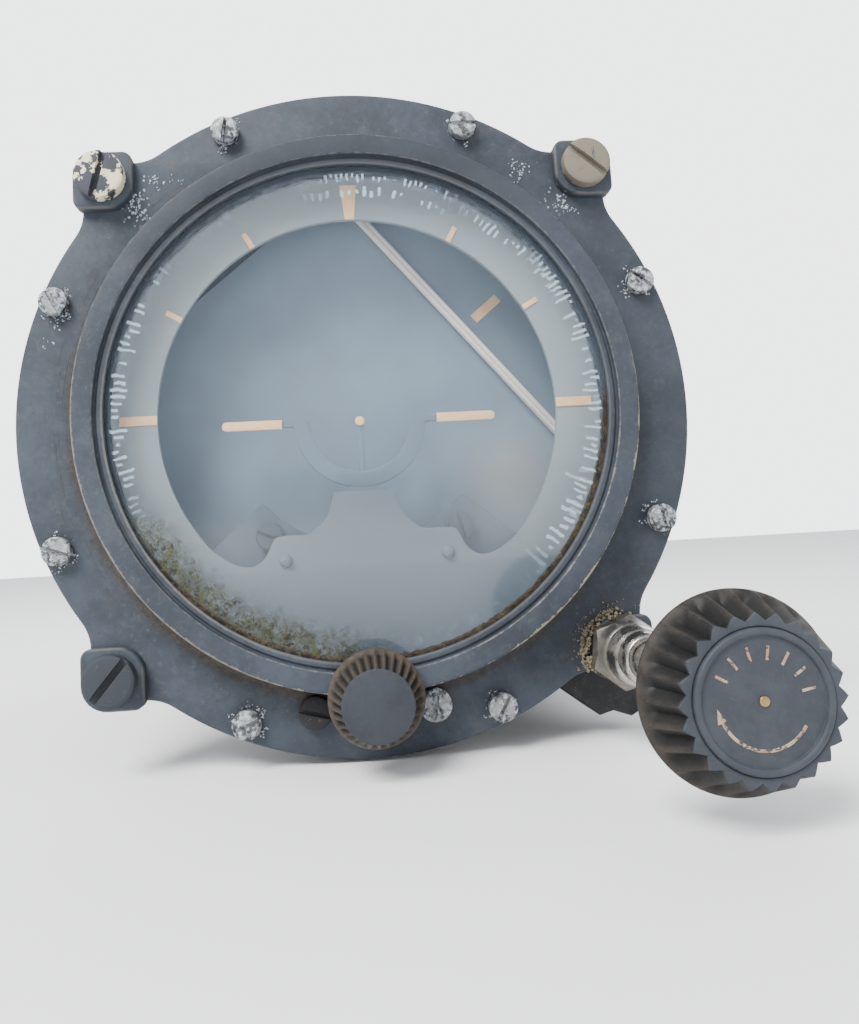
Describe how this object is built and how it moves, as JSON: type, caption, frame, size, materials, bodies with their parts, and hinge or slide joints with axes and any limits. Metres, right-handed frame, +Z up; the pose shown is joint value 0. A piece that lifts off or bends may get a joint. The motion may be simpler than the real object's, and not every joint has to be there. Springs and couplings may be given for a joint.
{
  "type": "attitude indicator",
  "caption": "Panel-mounted gyro horizon with a square-eared bezel, a fluted caging knob, a small adjusting knob, a rolling dial with its horizon bar, and a suction-driven gyro.",
  "frame": {"origin": "centre of the panel seat, on the plane of the four ear pads' front faces", "axes": "+X to the right as the dial is read, +Y away from the reader and into the case, +Z up"},
  "size_m": [0.122, 0.2054, 0.122],
  "materials": {
    "dark_paint": "satin",
    "mask_paint": "matte",
    "disc_paint": "matte",
    "bar_paint": "matte",
    "pointer_paint": "matte",
    "clear_glass": "gloss",
    "nickel_plate": "satin",
    "steel": "satin",
    "worn_steel": "matte",
    "brass": "satin",
    "bare_aluminium": "satin",
    "knob_plastic": "satin",
    "black_rubber": "matte",
    "filter_felt": "matte"
  },
  "bodies": {
    "case": {"bezel_casting": "dark_paint", "case_barrel": "dark_paint", "rear_cover": "dark_paint", "dial_mask": "mask_paint", "window_glass": "clear_glass", "gland_nut": "nickel_plate", "gland_bush": "nickel_plate", "vacuum_elbow": "nickel_plate", "glass_retaining_ring": "steel", "mask_screw_left": "steel", "mask_screw_right": "steel", "foot_guide": "steel", "caging_spring": "steel", "rear_cover_screw_1": "steel", "rear_cover_screw_2": "steel", "rear_cover_screw_3": "steel", "rear_cover_screw_4": "steel", "rear_bearing": "steel", "front_bearing": "steel", "bezel_screw_1": "worn_steel", "bezel_screw_2": "worn_steel", "bezel_screw_3": "worn_steel", "bezel_screw_4": "worn_steel", "bezel_screw_5": "worn_steel", "bezel_screw_6": "worn_steel", "bezel_screw_7": "worn_steel", "bezel_screw_8": "worn_steel", "mounting_screw_top_left": "worn_steel", "mounting_screw_top_right": "worn_steel", "mounting_screw_bottom_left": "worn_steel", "adjuster_screw_left": "worn_steel", "adjuster_screw_right": "worn_steel", "adjuster_bush": "brass", "air_filter_ring": "brass", "port_plug": "brass", "mask_bracket": "bare_aluminium", "cam_box_cover": "bare_aluminium", "front_bearing_bracket": "bare_aluminium", "bezel_gasket": "black_rubber", "glass_seal": "black_rubber", "rear_cover_gasket": "black_rubber", "air_filter_element": "filter_felt"},
    "roll": {"roll_gimbal": "bare_aluminium", "horizon_disc": "disc_paint", "pitch_bearing_left": "steel", "pitch_bearing_right": "steel"},
    "gyro": {"gyro_housing": "bare_aluminium", "housing_cover": "bare_aluminium", "pendulum_body": "bare_aluminium"},
    "bar": {"horizon_bar_arm": "bar_paint"},
    "rotor": {"rotor": "steel"},
    "vanes_fore_aft": {"vane_pair_fore_aft": "brass"},
    "vanes_lateral": {"vane_pair_lateral": "brass"},
    "caging_drive": {"caging_knob": "knob_plastic", "caging_shaft": "steel", "caging_cam": "brass"},
    "plunger": {"caging_plunger": "brass"},
    "adjuster": {"adjust_knob": "dark_paint", "adjust_shaft": "steel"},
    "airplane": {"miniature_airplane": "pointer_paint"}
  },
  "joints": [
    {"name": "roll", "type": "hinge", "parent": "case", "child": "roll", "pos_m": [0, 0.0736, 0], "axis": [0, 1, 0], "range_deg": [-160.5, 59.5]},
    {"name": "pitch", "type": "hinge", "parent": "roll", "child": "gyro", "pos_m": [0, 0.0736, 0], "axis": [-0.6361, 0, 0.7716], "range_deg": [-120, 0]},
    {"name": "bar", "type": "hinge", "parent": "roll", "child": "bar", "pos_m": [0, 0.1136, 0], "axis": [-0.6361, 0, 0.7716], "range_deg": [-31.4, 0]},
    {"name": "rotor_spin", "type": "hinge", "parent": "gyro", "child": "rotor", "pos_m": [0, 0.0736, 0], "axis": [0.3858, 0.866, 0.318], "continuous": true},
    {"name": "vane_fore_aft", "type": "hinge", "parent": "gyro", "child": "vanes_fore_aft", "pos_m": [-0.01011, 0.05091, -0.00833], "axis": [-0.6682, 0.5, -0.5509], "range_deg": [-12, 12]},
    {"name": "vane_lateral", "type": "hinge", "parent": "gyro", "child": "vanes_lateral", "pos_m": [-0.00872, 0.05403, -0.00719], "axis": [0.6361, 0, -0.7716], "range_deg": [-12, 12]},
    {"name": "caging", "type": "hinge", "parent": "case", "child": "caging_drive", "pos_m": [0.0442, 0, -0.0452], "axis": [0, 1, 0], "range_deg": [0, 180]},
    {"name": "plunger", "type": "slide", "parent": "case", "child": "plunger", "axis": [-0.6992, 0, 0.715], "range_m": [0, 0.00451]},
    {"name": "adjust", "type": "hinge", "parent": "case", "child": "adjuster", "pos_m": [0, 0, -0.0491], "axis": [0, 1, 0], "range_deg": [-45, 45]},
    {"name": "airplane_height", "type": "slide", "parent": "case", "child": "airplane", "axis": [0, 0, 1], "range_m": [-0.00246, 0.00246]}
  ],
  "couplings": [
    {"joint": "bar", "follows": "pitch", "ratio": 0.26167},
    {"joint": "plunger", "follows": "caging", "m_per_rad": 0.0014324},
    {"joint": "airplane_height", "follows": "adjust", "m_per_rad": -0.0031194}
  ]
}
